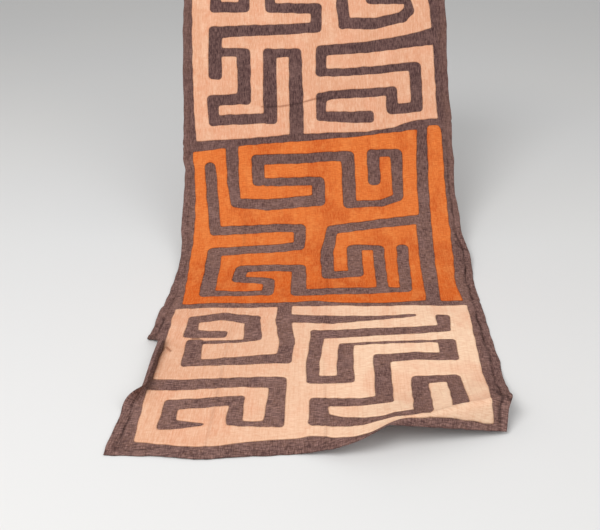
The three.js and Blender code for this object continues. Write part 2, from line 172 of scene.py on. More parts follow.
def setFlat(bm, flat):
    for vert, place in zip(bm.verts, flat.tolist()):
        vert.co = place


def backCopy(bm):  # closes a sheet with a copy of its faces, and returns the copy's corners
    made = bmesh.ops.extrude_face_region(bm, geom=bm.faces[:], use_keep_orig=True)
    return [x for x in made["geom"] if isinstance(x, bmesh.types.BMVert)]


def drapedPiece(name, bm, material):  # flat bmesh to a draped object that rides on the cloth
    chart = bm.loops.layers.uv.new("flat")
    for face in bm.faces:
        face.smooth = True
        for loop in face.loops:
            loop[chart].uv = loop.vert.co.xy * mm
    setFlat(bm, placeOnDrape(flatOf(bm)))
    mesh = bpy.data.meshes.new(name)
    bm.to_mesh(mesh)
    bm.free()
    mesh.materials.append(material)
    obj = bpy.data.objects.new(name, mesh)
    bpy.context.scene.collection.objects.link(obj)
    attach(obj, "root")
    print(name, len(mesh.polygons), "faces")
    return obj


def srgb(red, green, blue):
    def linear(c):
        c /= 255
        return c / 12.92 if c <= 0.04045 else ((c + 0.055) / 1.055) ** 2.4
    return (linear(red), linear(green), linear(blue), 1)


class Signal:  # a socket's value in shader maths
    def __init__(self, board, socket):
        self.board, self.socket = board, socket

    def maths(self, operation, *others, first=None):
        sockets = dict(enumerate([self if first is None else first, *others]))
        return self.board.add("ShaderNodeMath", {"operation": operation}, sockets)

    def __add__(self, other): return self.maths("ADD", other)
    def __radd__(self, other): return self.maths("ADD", other)
    def __sub__(self, other): return self.maths("SUBTRACT", other)
    def __rsub__(self, other): return self.maths("SUBTRACT", self, first=other)
    def __mul__(self, other): return self.maths("MULTIPLY", other)
    def __rmul__(self, other): return self.maths("MULTIPLY", other)
    def sine(self): return self.maths("SINE")

    def between(self, low, high):  # 0 below low, 1 above high, smooth between
        settings = {"interpolation_type": "SMOOTHSTEP", "clamp": True}
        return self.board.add("ShaderNodeMapRange", settings, {0: self, 1: low, 2: high, 3: 0.0, 4: 1.0})


surface = {"noiseRough": 0.55, "bumpStrength": 0.9, "specular": 0.1}  # the same in every material


class Board:  # one material's node tree
    def __init__(self, name):
        self.material = bpy.data.materials.new(name)
        self.material.use_nodes = True
        self.tree = self.material.node_tree
        self.tree.nodes.clear()

    def add(self, kind, settings=None, sockets=None, out=0):
        node = self.tree.nodes.new(kind)
        for key, value in (settings or {}).items():
            setattr(node, key, value)
        for key, value in (sockets or {}).items():
            if isinstance(value, Signal):
                self.tree.links.new(value.socket, node.inputs[key])
            else:
                node.inputs[key].default_value = value
        return Signal(self, node.outputs[out]) if node.outputs else None

    def noise(self, place, acrossSize, alongSize, detail, seed):
        scale = (1 / acrossSize / mm, 1 / alongSize / mm, 1)
        shift = (seed, 2 * seed, 0)
        moved = self.add("ShaderNodeMapping", {}, {"Vector": place, "Scale": scale, "Location": shift})
        return self.add("ShaderNodeTexNoise", {"noise_dimensions": "2D"}, {
            "Vector": moved, "Scale": 1.0, "Detail": detail, "Roughness": surface["noiseRough"]})

    def blend(self, share, first, second):
        settings = {"data_type": "RGBA", "blend_type": "MIX", "clamp_factor": True}
        return self.add("ShaderNodeMix", settings, {0: share, 6: first, 7: second}, out=2)

    def finish(self, colour, roughness, height, bumpDepth):
        bump = self.add("ShaderNodeBump", {}, {
            "Strength": surface["bumpStrength"], "Distance": bumpDepth * mm, "Height": height})
        shader = self.add("ShaderNodeBsdfPrincipled", {}, {
            "Base Color": colour, "Roughness": roughness, "Normal": bump,
            "Specular IOR Level": surface["specular"]})
        self.add("ShaderNodeOutputMaterial", {}, {"Surface": shader})
        return self.material


weave = {  # what the three raffias share: noises as mm across, mm along, detail, seed, and where they show
    "noises": {
        "patch": (80, 120, 3, 5.9), "worn": (34, 50, 3, 4.7), "streak": (4, 90, 2, 1.3),
        "band": (90, 5, 2, 8.4), "warp": (1.6, 15, 2, 3.1), "weft": (15, 1.6, 2, 7.7),
        "light": (3, 13, 2, 9.2), "dark": (15, 3, 2, 2.6)},
    "spans": {
        "patch": (0.45, 0.66), "worn": (0.5, 0.68), "streak": (0.45, 0.7), "band": (0.4, 0.7),
        "warp": (0.4, 0.65), "weft": (0.4, 0.65), "light": (0.42, 0.66), "dark": (0.42, 0.66)},
    "betweenStreaks": (0.3, 0.5),
    "crossRelief": 0.25, "warpRelief": 0.35, "weftRelief": 0.3, "rough": 0.8, "patchRough": 0.15,
}


def raffia(name, look):  # streaked and heathered plain weave, with painted shade along the edges and where the shade layer says
    board = Board(name)
    chart = board.add("ShaderNodeUVMap", {"uv_map": "flat"})
    across = board.add("ShaderNodeSeparateXYZ", {}, {0: chart})
    up = board.add("ShaderNodeSeparateXYZ", {}, {0: chart}, out=1)
    edge = board.add("ShaderNodeAttribute", {"attribute_name": "edge"}, out=2)
    shade = board.add("ShaderNodeAttribute", {"attribute_name": "shade"}, out=2)
    noise = {kind: board.noise(chart, *size) for kind, size in weave["noises"].items()}
    shows = {kind: noise[kind].between(*span) for kind, span in weave["spans"].items()}
    shows["gap"] = 1 - noise["streak"].between(*weave["betweenStreaks"])
    border = 1 - edge.between(*look["borderReach"])
    # the deep colour comes in up the sloping upper rows and, on the pale, in from the left side: painted
    # shade on the slope, and painted light on the orange, whose deep colour is lighter; part of it is the
    # cloth's own deeper tone
    above = up.between(*look["deepRows"])
    deep = above * (1 - border * look["borderLight"])
    deep = deep + (1 - across.between(*look["deepColumns"])) * look["deepSide"]
    deep = deep + border * (1 - above) * look["borderDeep"]
    threads = look["threadShare"] - above * look["threadFade"]
    heather = look["heather"] - above * look["heatherFade"]
    faded = look["wornShare"] - above * look["wornFade"]
    colour = board.blend(deep, look["base"], look["deep"])
    layers = [
        ("patch", look["patchShare"], "patch"), ("worn", faded, "light"),
        ("streak", look["streakShare"], "light"), ("gap", look["streakShare"], "dark"),
        ("band", look["bandShare"], "dark"), ("light", heather, "light"), ("dark", heather, "dark"),
        ("warp", threads, "light"), ("weft", threads, "dark")]
    for kind, share, tone in layers:
        colour = board.blend(shows[kind] * share, colour, look[tone])
    # painted shade: every cut edge darkens into the rim colour within about 2 mm, standing in for the shadow
    # where the turned edge rolls under
    edgeShade = 1 - edge.between(0.0, look["edgeShadeReach"])
    colour = board.blend(edgeShade * look["edgeShadeShare"], colour, look["edgeShade"])
    # the shade layer paints shade into creases, grooves and crumples and over the folded-down flap, and also
    # carries a few real brown marks, all in one brownish colour
    colour = board.blend(shade, colour, look["shadeAndStain"])
    turn = 2 * math.pi / look["pitch"] / mm
    crossing = (across * turn).sine() * (up * turn).sine()  # over and under
    height = crossing * weave["crossRelief"] + noise["warp"] * weave["warpRelief"]
    height = height + noise["weft"] * weave["weftRelief"]
    roughness = weave["rough"] + noise["patch"] * weave["patchRough"]
    return board.finish(colour, roughness, height, look["bump"])


# each look's deep, edge and crease colours are partly painted shade, blended in by raffia
paleLook = {
    "base": srgb(253, 222, 190), "deep": srgb(214, 152, 118), "deepRows": (0.3, 1.1),  # rows and columns in m
    "deepColumns": (0.1, 0.55), "deepSide": 0.85,
    "patch": srgb(226, 154, 120), "patchShare": 0.42,
    "light": srgb(248, 210, 180), "dark": srgb(212, 150, 116),
    "wornShare": 0.3, "streakShare": 0.26, "bandShare": 0.1, "heather": 0.16, "threadShare": 0.32,
    "wornFade": 0, "heatherFade": 0, "threadFade": 0, "shadeAndStain": srgb(128, 66, 40),
    "edgeShade": srgb(96, 58, 44), "edgeShadeReach": 1.8, "edgeShadeShare": 0.6,
    "borderReach": (0, 1), "borderLight": 0, "borderDeep": 0, "pitch": 1.7, "bump": 0.3,
}
orangeLook = {
    "base": srgb(214, 94, 28), "deep": srgb(224, 118, 54), "deepRows": (0.5, 0.75),
    "deepColumns": (0, 1), "deepSide": 0,
    "patch": srgb(188, 74, 24), "patchShare": 0.65,
    "light": srgb(238, 146, 78), "dark": srgb(180, 76, 28),
    "wornShare": 0.42, "streakShare": 0.16, "bandShare": 0.18, "heather": 0.2, "threadShare": 0.34,
    "wornFade": 0, "heatherFade": 0, "threadFade": 0, "shadeAndStain": srgb(104, 46, 24),
    "edgeShade": srgb(92, 42, 26), "edgeShadeReach": 1.8, "edgeShadeShare": 0.6,
    "borderReach": (0, 1), "borderLight": 0, "borderDeep": 0, "pitch": 1.7, "bump": 0.3,
}
darkLook = {
    "base": srgb(138, 102, 87), "deep": srgb(64, 43, 43), "deepRows": (0.55, 1.2),
    "deepColumns": (0, 1), "deepSide": 0,
    "patch": srgb(82, 56, 56), "patchShare": 0.55,
    "light": srgb(162, 126, 117), "dark": srgb(62, 41, 43),
    "wornShare": 0.5, "streakShare": 0.14, "bandShare": 0.24, "heather": 0.42, "threadShare": 0.66,
    "wornFade": 0.3, "heatherFade": 0.12, "threadFade": 0.38, "shadeAndStain": srgb(46, 30, 29),
    "edgeShade": srgb(46, 30, 29), "edgeShadeReach": 1.4, "edgeShadeShare": 0.35,
    "borderReach": (12, 32), "borderLight": 0.45, "borderDeep": 0.45,  # faded above and soiled below
    "pitch": 1.9, "bump": 0.45,
}
paleRaffia = raffia("pale raffia", paleLook)
orangeRaffia = raffia("orange raffia", orangeLook)
darkRaffia = raffia("dark raffia", darkLook)
print("raffia made")


ground = {
    "thickness": 1.2, "hemTop": 2.3, "hemWidth": 17, "bottomHem": 11,
    "hemWander": 1.8, "hemWanderSize": 60, "hemInside": 2, "hemOutside": 1,  # its uneven inner edge
    "grooveHalf": 2.4, "grooveDepth": 0.7, "grooveShade": 0.7, "grooveSkip": 0.3, "grooveSkipSize": 50,
    "grooveFrom": 4, "grooveFull": 5, "grooveFullAtHem": 20,
    "puckerRows": 2.3, "puckerSway": 2, "puckerSize": 60, "puckerHeight": 0.22, "puckerHalf": 7,
    "edgeRound": 2.4, "edgeMiddle": 0.7, "backRound": 0.45, "joinDip": 0.1, "joinHalf": 1.6,
    "creaseAt": [0, 380, 480, 720, 880, 1020, 1600],  # how clearly the hem's crease shows, by row
    "creaseLeft": [1, 1, 0.4, 0.3, 0.3, 0.3, 0.3], "creaseRight": [1.1, 1.3, 1.3, 1.2, 0.9, 0.4, 0.35],
    "fray": 0.45, "frayBottom": 26, "fraySides": 30, "notch": 2, "notchHalf": 5, "gap": 0.3, "sidePull": 60,
    "seeds": {"left": 11, "right": 12, "bottom": 13, "hem": 21, "groove": 23, "pucker": 31},
    # rows of the side edges, and how far they stand out there
    "leftAt": [0, 20, 50, 80, 144, 264, 302, 378, 426, 474, 524, 576, 624, 670, 712, 752, 790, 862, 932,
               964, 998, 1064, 1132, 1200, 1268, 1320, 1406, 1600],
    "leftReach": [5, 5, 4, 1, 0, 2, 4, 0, 3, -1, -3, -6, -8, -7, -4, 3, 3, 0, -2, 3, 3, 1, 0, 2, 0, 3, 1, 0],
    "rightAt": [20, 60, 80, 140, 208, 254, 294, 378, 524, 576, 624, 670, 712, 752, 790, 826, 862, 898, 932,
                964, 998, 1066, 1098, 1132, 1268, 1336, 1406, 1600],
    "rightReach": [-2, -6, -3, -3, 0, 5, 1, 0, -1, 2, 8, 11, 5, -1, 2, 2, -2, -1, 2, 4, 1, 4, 4, 0, 0, 2,
                   -2, 0],
    "bottomAt": [0, 90, 150, 180, 215, 280, 320, 365, 400, 470, 495, 720],  # the uneven bottom edge
    "bottomRows": [0, -3, -10, -9, -5, -1, 2, -1, -6, -5, 1, 21.5],
    "lowerJoin": (459, 474), "upperJoin": (998, 1068),
    "edgeLines": [0, 1, 2.4, 4, 6.5, 9, 11.5, 13.5, 15, 16, 17, 18, 19, 20.5, 23, 27, 32, 38, 45],
    "cell": 5, "row": 4.0, "endRow": 0.5, "lastGap": 2,  # mesh lines
    "crestRows": (48, 120, 3.2), "lowerRows": (120, 4.2),
    "markDepth": 0.5,
    # painted shade along crumples and creases, which also dip the surface; the first line follows the brown
    # crease across the upper panel
    "marks": [
        {"line": [(212, 1107), (262, 1108), (310, 1116), (380, 1134)], "half": 2.6, "shade": 0.6},
        {"line": [(698, 716), (708, 694), (724, 684)], "half": 2.2, "shade": 0.75},  # crumpled right border
        {"line": [(702, 648), (712, 634), (726, 630)], "half": 2, "shade": 0.6},
        {"line": [(692, 128), (700, 86), (712, 76), (726, 78)], "half": 2.4, "shade": 0.8},
        {"line": [(702, 84), (694, 58), (698, 40)], "half": 2, "shade": 0.65},
        {"line": [(15, 54), (18, 30), (23, 6)], "half": 1.8, "shade": 0.6},  # creased lower left corner
        {"line": [(22, 9), (64, 13), (112, 21)], "half": 1.6, "shade": 0.45}],
}


def markShade(marks, u, v):  # painted shade in the storage creases and along each marked line, the darkest kept; a few marks are real brown marks
    shade = drape["creaseShade"] * storageCrease(u, v)
    for mark in marks:
        for (ua, va), (ub, vb) in zip(mark["line"], mark["line"][1:]):
            du, dv = ub - ua, vb - va
            share = np.clip(((u - ua) * du + (v - va) * dv) / (du * du + dv * dv), 0, 1)
            far = np.hypot(u - ua - share * du, v - va - share * dv)
            shade = np.maximum(shade, mark["shade"] * np.exp(-(far / mark["half"]) ** 2))
    return shade


def seam(join, shift):  # one side of a join, as a row for each place across
    def row(u):
        return join[0] + (join[1] - join[0]) * u / drape["width"] + shift
    return row


def clothTop(u):
    return drape["length"] + 0 * u


def hemRow(u):
    g = ground
    frayed = g["fray"] * ripple(u, 0 * u, g["frayBottom"], g["seeds"]["bottom"])
    return np.interp(u, g["bottomAt"], g["bottomRows"]) + frayed


def sideInset(left, v):  # how far the outer edge is drawn in
    g, side = ground, "left" if left else "right"
    frayed = g["fray"] * ripple(v, 0 * v, g["fraySides"], g["seeds"][side])
    inset = frayed - np.interp(v, g[side + "At"], g[side + "Reach"])
    for join in (g["lowerJoin"], g["upperJoin"]):
        inset = inset + g["notch"] * np.exp(-((v - join[0 if left else 1]) / g["notchHalf"]) ** 2)
    return inset


def sideLines(total):
    edge = np.array(ground["edgeLines"], float)
    inner = np.linspace(edge[-1], total - edge[-1], int((total - 2 * edge[-1]) / ground["cell"]) + 1)
    return np.concatenate([edge, inner[1:-1], (total - edge)[::-1]])


def rowLines(length, dense):  # shares of the length, closer together at a hem or a crest
    g = ground
    rows = np.append([0, g["endRow"]], np.arange(g["row"], length, g["row"]))
    if dense:
        start, step = g["lowerRows"]
        rows = np.concatenate([g["edgeLines"], np.arange(*g["crestRows"]), np.arange(start, length, step)])
    return np.append(rows[rows < length - g["lastGap"]], [length - g["endRow"], length]) / length


def groundLength(name, bottom, top, hemBottom=False, hemTop=False):
    g, width, seeds = ground, drape["width"], ground["seeds"]
    uLines = sideLines(width)
    shares = rowLines(top(width / 2) - bottom(width / 2), hemBottom)
    bm = bmesh.new()
    bmesh.ops.create_grid(bm, x_segments=len(uLines) - 1, y_segments=len(shares) - 1, size=1)
    edgeLayer = bm.verts.layers.float.new("edge")
    flat = flatOf(bm)
    u = np.interp((flat[:, 0] + 1) / 2, np.linspace(0, 1, len(uLines)), uLines)
    share = np.interp((flat[:, 1] + 1) / 2, np.linspace(0, 1, len(shares)), shares)
    v = bottom(u) + (top(u) - bottom(u)) * share
    left, right, pull = sideInset(True, v), sideInset(False, v), g["sidePull"]
    u = u + left * (1 - ease(u, 0, pull)) - right * ease(u, width - pull, width)
    fromSide = np.maximum(np.minimum(u - left, width - right - u), 0)
    fromEdge = fromSide
    hem = g["hemWidth"] + g["hemWander"] * ripple(u, v, g["hemWanderSize"], seeds["hem"])

    def folded(far, reach):  # 1 on a hem, 0 past it
        return 1 - ease(far, reach - g["hemInside"], reach + g["hemOutside"])

    fold = folded(fromSide, hem)
    if hemBottom:
        fromEdge = np.minimum(fromEdge, np.maximum(v - bottom(u), 0))
        fold = np.maximum(fold, folded(v - bottom(u), g["bottomHem"]))
    if hemTop:
        fromEdge = np.minimum(fromEdge, np.maximum(top(u) - v, 0))
        fold = np.maximum(fold, folded(top(u) - v, hem))
    groove = np.exp(-((fromSide - hem) / g["grooveHalf"]) ** 2)
    full = g["grooveFullAtHem"] if hemBottom else g["grooveFull"]
    groove = groove * ease(v - bottom(u), g["grooveFrom"], full)
    groove = groove * np.interp(v, g["creaseAt"], g["creaseLeft"]) ** (u < width / 2)
    groove = groove * np.interp(v, g["creaseAt"], g["creaseRight"]) ** (u > width / 2)
    height = g["thickness"] + (g["hemTop"] - g["thickness"]) * fold - g["grooveDepth"] * groove
    pucker = np.sin(v / g["puckerRows"] + g["puckerSway"] * ripple(u, v, g["puckerSize"], seeds["pucker"]))
    height = height + g["puckerHeight"] * pucker * np.exp(-((fromSide - hem) / g["puckerHalf"]) ** 2)
    rounded = np.sqrt(np.clip(1 - (1 - np.minimum(fromEdge / g["edgeRound"], 1)) ** 2, 0, 1))
    atJoin = np.minimum(v - bottom(u), top(u) - v)
    dip = g["joinDip"] * np.exp(-(atJoin / g["joinHalf"]) ** 2)
    height = g["edgeMiddle"] + (height - g["edgeMiddle"]) * rounded - dip
    marked = markShade(g["marks"], u, v)
    height = height - g["markDepth"] * np.maximum(marked - drape["creaseShade"], 0) * rounded
    setFlat(bm, np.stack([u, v, height], axis=1))
    shadeLayer = bm.verts.layers.float.new("shade")
    clear = 1 - g["grooveSkip"] + g["grooveSkip"] * ripple(u, v, g["grooveSkipSize"], seeds["groove"])
    # painted shade in the hem's groove, patchy along it, and along the marked creases and crumples
    shade = np.maximum(g["grooveShade"] * groove * clear, marked)
    for vert, far, dim in zip(bm.verts, fromEdge.tolist(), np.clip(shade, 0, 1).tolist()):
        vert[edgeLayer], vert[shadeLayer] = far, dim
    for back in backCopy(bm):
        back.co.z = g["backRound"] * max(1 - back[edgeLayer] / g["edgeRound"], 0)
    bmesh.ops.recalc_face_normals(bm, faces=bm.faces[:])
    return drapedPiece(name, bm, darkRaffia)


lowerJoin, upperJoin, halfGap = ground["lowerJoin"], ground["upperJoin"], ground["gap"] / 2
groundLower = groundLength("raffia_ground_lower", hemRow, seam(lowerJoin, -halfGap), hemBottom=True)
groundMiddle = groundLength("raffia_ground_middle", seam(lowerJoin, halfGap), seam(upperJoin, -halfGap))
groundUpper = groundLength("raffia_ground_upper", seam(upperJoin, halfGap), clothTop, hemTop=True)
print("ground laid")


# panel charts: outline as (u, v) counter-clockwise, slits as (u, v, width) along their middles
panel = {
    "cell": 3, "under": 1.3, "edgeTop": 1.5, "top": 2.35, "roll": 0.55, "rollReach": 3.4, "corner": 10,
    "cornerShare": 0.48, "edgeRound": 2.6, "rollHalf": 2.4, "snap": 0.56, "snapTimes": 3, "leastSlope": 0.2,
    "fieldStep": 1.5, "fieldMargin": 15, "smooth": 1.5, "wobble": 0.75, "wobbleSize": 45, "wobbleSeed": 8,
}
lowerChart = {
    "outline": [
        (40, 30), (70, 25), (104, 21), (140, 18), (174, 18), (208, 23), (242, 29), (276, 34), (310, 36),
        (346, 39), (364, 36), (382, 29), (412, 16), (440, 10), (462, 6), (480, 6), (496, 9), (542, 18),
        (564, 24), (602, 28), (692, 29), (678, 61), (684, 170), (684, 235), (688, 460), (291, 456),
        (256, 452), (31, 445), (38, 295), (37, 186), (32, 172)],
    "slits": [
        [(276, 484, 32), (278, 394, 32), (291, 320, 31), (289, 264, 31), (200, 256, 26), (108, 249, 18)],
        [(103, 257, 37), (99, 311, 34)],
        [(92, 318, 11), (205, 324, 8)],
        [(217, 342, 37), (209, 402, 32), (147, 414, 26), (83, 400, 25), (84, 348, 26), (150, 348, 23)],
        [(286, 406, 30), (379, 402, 29), (471, 409, 17), (564, 418, 8)],
        [(12, 182, 30), (100, 182, 30), (200, 189, 28), (282, 190, 31), (280, 85, 36)],
        [(276, 75, 12), (213, 74, 12)],
        [(209, 83, 28), (208, 136, 26), (88, 126, 26), (89, 75, 30)],
        [(100, 73, 24), (154, 73, 5)],
        [(627, 406, 31), (626, 370, 24), (560, 361, 24), (450, 354, 29), (354, 347, 28), (348, 245, 25),
         (348, 199, 24), (408, 197, 21)],
        [(413, 204, 33), (414, 301, 31)],
        [(405, 311, 8), (520, 319, 7), (612, 324, 8)],
        [(625, 312, 36), (625, 278, 36)],
        [(626, 272, 23), (560, 273, 24), (487, 264, 26)],
        [(487, 260, 33), (486, 131, 33)],
        [(486, 129, 30), (440, 128, 25), (362, 131, 22)],
        [(361, 126, 34), (361, 83, 34), (410, 67, 28), (440, 57, 25), (484, 50, 16), (508, 52, 23),
         (554, 48, 34), (558, 190, 33)],
        [(556, 197, 24), (623, 199, 24)],
        [(625, 194, 28), (624, 74, 30)]],
    "corner": 6,
    # a real brown thread mark, then painted shade over the folded-down flap at the lower right
    "marks": [{"line": [(44, 300), (56, 287)], "half": 1.9, "shade": 1},
              {"line": [(570, 12), (690, 40)], "half": 26, "shade": 0.24}],
}
middleChart = {
    "outline": [
        (41, 464), (291, 471), (341, 479), (391, 469), (531, 472), (598, 479), (606, 765), (617, 796),
        (623, 957), (630, 1045), (490, 1027), (340, 1014), (148, 999), (113, 992), (23, 982), (31, 857),
        (32, 654)],
    "slits": [
        [(129, 1027, 33), (130, 897, 30), (138, 836, 27), (221, 829, 32), (357, 844, 31), (357, 894, 34)],
        [(357, 899, 24), (221, 896, 22)],
        [(198, 902, 32), (197, 957, 32)],
        [(197, 960, 27), (301, 963, 27), (440, 971, 25)],
        [(439, 967, 34), (438, 838, 35)],
        [(441, 831, 20), (521, 835, 19), (567, 853, 21)],
        [(568, 860, 27), (569, 973, 32)],
        [(568, 979, 19), (509, 979, 19)],
        [(507, 972, 32), (507, 903, 32)],
        [(641, 790, 28), (501, 770, 26), (387, 752, 28), (372, 674, 32), (374, 586, 30), (442, 594, 25)],
        [(442, 599, 36), (441, 682, 36)],
        [(441, 692, 18), (503, 692, 18)],
        [(503, 686, 28), (501, 529, 26)],
        [(563, 689, 28), (556, 532, 29)],
        [(558, 525, 18), (451, 521, 27), (303, 513, 27)],
        [(303, 517, 35), (304, 611, 34)],
        [(304, 616, 25), (252, 616, 25), (164, 611, 26)],
        [(163, 608, 30), (159, 571, 30)],
        [(159, 568, 24), (201, 565, 24), (232, 560, 27), (232, 514, 27)],
        [(232, 512, 20), (171, 508, 19), (98, 508, 26)],
        [(91, 513, 36), (91, 673, 35)],
        [(91, 677, 29), (111, 678, 29), (231, 687, 27), (303, 698, 28), (304, 755, 30)],
        [(304, 758, 25), (251, 758, 25), (86, 748, 28), (78, 826, 29), (70, 937, 29)]],
    "corner": 13,
}
stripChart = {
    "outline": [
        (629, 478), (681, 479), (676, 554), (688, 654), (693, 806), (696, 957), (694, 1047), (688, 1056),
        (660, 1056), (655, 1047), (653, 957), (647, 806), (640, 654)],
    "slits": [],
}
upperChart = {
    "outline": [
        (32, 1011), (155, 1017), (320, 1032), (490, 1037), (565, 1049), (614, 1067), (686, 1075),
        (684, 1297), (674, 1407), (677, 1559), (23, 1557), (21, 1409), (27, 1117)],
    "slits": [
        [(304, 1012, 36), (305, 1097, 37), (306, 1254, 34)],
        [(305, 1259, 23), (239, 1259, 23)],
        [(236, 1254, 34), (234, 1078, 37)],
        [(236, 1076, 27), (214, 1075, 27), (81, 1068, 28), (79, 1125, 29), (165, 1129, 30)],
        [(165, 1131, 35), (165, 1254, 35)],
        [(165, 1260, 23), (94, 1261, 24)],
        [(87, 1202, 35), (87, 1317, 35)],
        [(87, 1319, 32), (119, 1320, 32), (249, 1325, 29), (363, 1332, 29), (364, 1387, 29), (237, 1388, 26),
         (235, 1457, 26), (281, 1459, 26)],
        [(165, 1467, 30), (165, 1391, 29), (86, 1390, 29), (87, 1507, 29), (339, 1511, 28), (339, 1462, 28)],
        [(639, 1513, 28), (436, 1511, 29), (435, 1397, 32), (441, 1343, 31), (519, 1343, 31), (599, 1361, 28),
         (618, 1381, 27), (616, 1409, 18), (511, 1409, 19), (511, 1459, 27), (604, 1461, 27)],
        [(715, 1318, 45), (679, 1306, 44), (599, 1290, 35), (499, 1275, 31), (377, 1266, 28),
         (375, 1207, 28)],
        [(375, 1204, 22), (449, 1204, 21), (631, 1222, 22)],
        [(631, 1217, 31), (632, 1109, 31)],
        [(632, 1107, 27), (565, 1100, 27)],
        [(565, 1102, 30), (565, 1148, 30)],
        [(565, 1151, 24), (399, 1140, 23), (373, 1133, 26), (372, 1081, 26), (449, 1078, 30),
         (498, 1079, 32)]],
    # a brown crease line: painted crease shade with a brown stain along it
    "marks": [{"line": [(212, 1107), (262, 1108), (310, 1116), (360, 1130)], "half": 2.4, "shade": 0.7}],
}


def outlineDistance(outline, u, v):  # above 0 inside
    far = np.full(u.shape, np.inf)
    inside = np.zeros(u.shape, bool)
    for (ua, va), (ub, vb) in zip(outline, outline[1:] + outline[:1]):
        du, dv = ub - ua, vb - va
        share = np.clip(((u - ua) * du + (v - va) * dv) / (du * du + dv * dv), 0, 1)
        far = np.minimum(far, np.hypot(u - ua - share * du, v - va - share * dv))
        if dv:
            inside ^= ((va > v) != (vb > v)) & (u < du * (v - va) / dv + ua)
    return np.where(inside, far, -far)


def barDistance(a, b, corner, u, v):  # below 0 inside one bar of a slit
    du, dv = b[0] - a[0], b[1] - a[1]
    long = math.hypot(du, dv)
    along = ((u - a[0]) * du + (v - a[1]) * dv) / long
    aside = np.abs((v - a[1]) * du - (u - a[0]) * dv) / long
    corner = min(corner, panel["cornerShare"] * a[2], panel["cornerShare"] * b[2])
    half = (a[2] + (b[2] - a[2]) * np.clip(along / long, 0, 1)) / 2
    past = np.maximum(-along - a[2] / 2, along - long - b[2] / 2) + corner
    over = aside - half + corner
    outside = np.hypot(np.maximum(past, 0), np.maximum(over, 0))
    return outside + np.minimum(np.maximum(past, over), 0) - corner


def smoothed(field, reach):  # evens a grid of values over a few steps both ways
    half = math.ceil(3 * reach)  # past this the weights are next to nothing
    steps = np.arange(-half, half + 1)
    weights = np.exp(-(steps / reach) ** 2 / 2)
    weights /= weights.sum()
    for axis in (0, 1):
        wide = np.pad(field, [(half, half) if axis == k else (0, 0) for k in (0, 1)], mode="edge")
        field = np.apply_along_axis(np.convolve, axis, wide, weights, "valid")
    return field


def cutField(chart):  # grid of mm in from the nearest cut edge, below 0 in a slit or outside
    p, step, margin = panel, panel["fieldStep"], panel["fieldMargin"]
    us, vs = zip(*chart["outline"])
    u, v = np.meshgrid(np.arange(min(us) - margin, max(us) + margin, step),
                       np.arange(min(vs) - margin, max(vs) + margin, step), indexing="ij")
    far = outlineDistance(chart["outline"], u, v)
    for slit in chart["slits"]:
        for a, b in zip(slit, slit[1:]):
            far = np.minimum(far, barDistance(a, b, chart.get("corner", p["corner"]), u, v))
    far = smoothed(far, p["smooth"]) + p["wobble"] * ripple(u, v, p["wobbleSize"], p["wobbleSeed"])
    return {"far": far, "u": u[0, 0], "v": v[0, 0]}


def cutDistance(field, u, v):
    far, step = field["far"], panel["fieldStep"]
    a, b = (u - field["u"]) / step, (v - field["v"]) / step
    i = np.clip(np.floor(a).astype(int), 0, far.shape[0] - 2)
    j = np.clip(np.floor(b).astype(int), 0, far.shape[1] - 2)
    a, b = a - i, b - j
    low = far[i, j] * (1 - a) + far[i + 1, j] * a
    return low * (1 - b) + (far[i, j + 1] * (1 - a) + far[i + 1, j + 1] * a) * b


def cutSlope(field, u, v):  # direction in from the cut edge
    h = panel["fieldStep"]
    across = (cutDistance(field, u + h, v) - cutDistance(field, u - h, v)) / (2 * h)
    up = (cutDistance(field, u, v + h) - cutDistance(field, u, v - h)) / (2 * h)
    long = np.maximum(np.hypot(across, up), panel["leastSlope"])
    return across / long, up / long


def cutFlatPanel(chart, field):  # grid of cloth cut back to the chart, its edge corners moved onto the cut
    cell = panel["cell"]
    us, vs = zip(*chart["outline"])
    low, high = (min(us) - cell, min(vs) - cell), (max(us) + cell, max(vs) + cell)
    columns, rows = int((high[0] - low[0]) / cell), int((high[1] - low[1]) / cell)
    bm = bmesh.new()
    bmesh.ops.create_grid(bm, x_segments=columns, y_segments=rows, size=1)
    flat = flatOf(bm)
    u = low[0] + (flat[:, 0] + 1) / 2 * columns * cell
    v = low[1] + (flat[:, 1] + 1) / 2 * rows * cell
    far = cutDistance(field, u, v)
    onCut = np.abs(far) < panel["snap"] * cell
    for _ in range(panel["snapTimes"]):
        su, sv = cutSlope(field, u[onCut], v[onCut])
        now = cutDistance(field, u[onCut], v[onCut])
        u[onCut] -= now * su
        v[onCut] -= now * sv
    side = np.where(onCut, 0, np.sign(far)).astype(int)
    setFlat(bm, np.stack([u, v, 0 * u], axis=1))
    bm.verts.index_update()
    for face in bm.faces[:]:
        sides = [side[x.index] for x in face.verts]
        onEdge = [x for x in face.verts if side[x.index] == 0]
        if 1 in sides and -1 in sides and len(onEdge) == 2:
            bmesh.utils.face_split(face, *onEdge)
    middles = np.array([face.calc_center_median() for face in bm.faces])
    keep = cutDistance(field, middles[:, 0], middles[:, 1])
    gone = []
    for face, far in zip(bm.faces, keep.tolist()):
        sides = [side[x.index] for x in face.verts]
        if (-1 in sides and 1 not in sides) or far < 0:
            gone.append(face)
    bmesh.ops.delete(bm, geom=gone, context="FACES")
    return bm


def edgeWalks(bm):  # corners along each cut edge, in order
    bm.verts.index_update()
    bm.edges.index_update()
    used, walks = set(), []
    for first in bm.edges:
        if not first.is_boundary or first.index in used:
            continue
        walk, edge, vert = [first.verts[0].co.copy()], first, first.verts[0]
        while edge is not None:
            used.add(edge.index)
            vert = edge.other_vert(vert)
            walk.append(vert.co.copy())
            edge = next((e for e in vert.link_edges if e.is_boundary and e.index not in used), None)
        walks.append(np.array(walk)[:, :2])
    return walks


